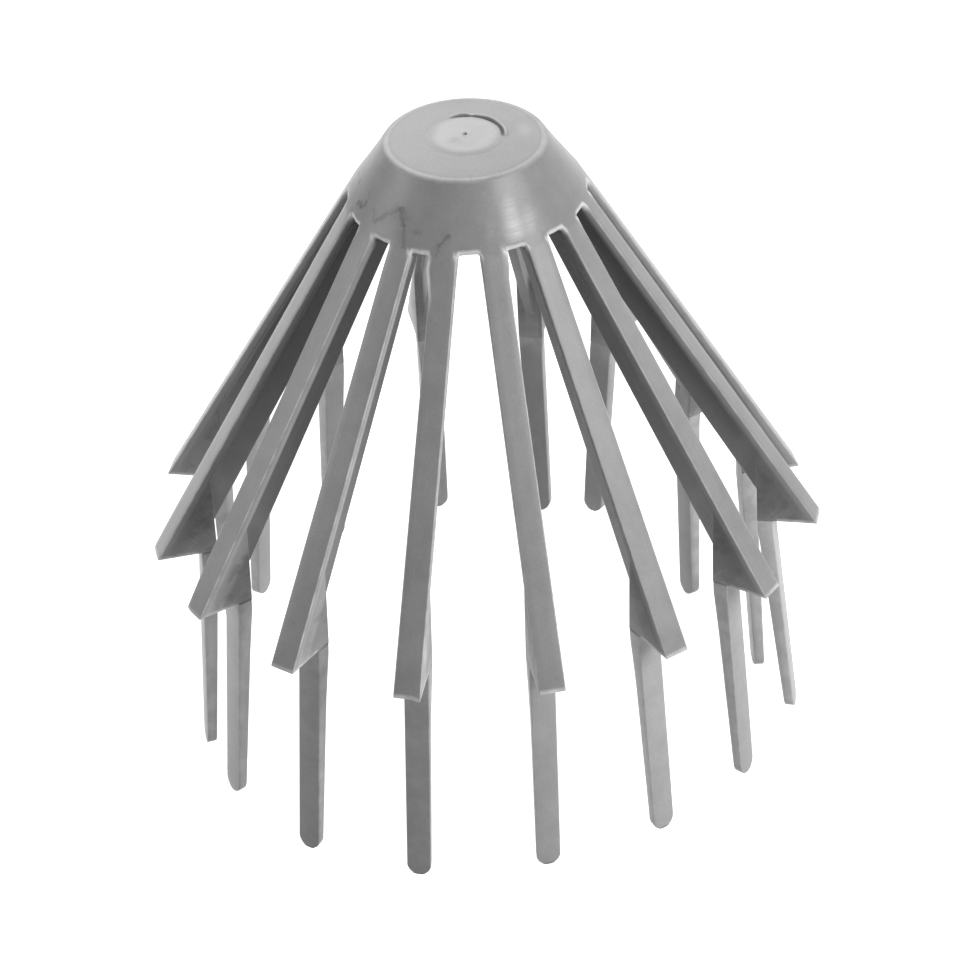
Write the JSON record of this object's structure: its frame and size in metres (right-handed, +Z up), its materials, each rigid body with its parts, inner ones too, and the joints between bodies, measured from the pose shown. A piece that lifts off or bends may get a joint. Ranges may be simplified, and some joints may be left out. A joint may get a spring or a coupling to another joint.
{
  "type": "downpipe leaf filter",
  "caption": "Conical leaf filter for a downpipe outlet: domed cap, ring of slanted fingers with ledges that rest on the rim, and legs that spring into the pipe.",
  "frame": {"origin": "on the axis of the cap, in the plane of the ledges that rest on the rim of the outlet", "axes": "+Z up along the axis to the cap, -Y the side that the picture shows, through a gap between two fingers"},
  "size_m": [0.1193, 0.1207, 0.1207],
  "materials": {
    "grey_plastic": "moulded mid grey plastic, satin, with fine flow marks and light scratches"
  },
  "bodies": {
    "root": {"leaf_filter": "grey_plastic"}
  },
  "joints": []
}
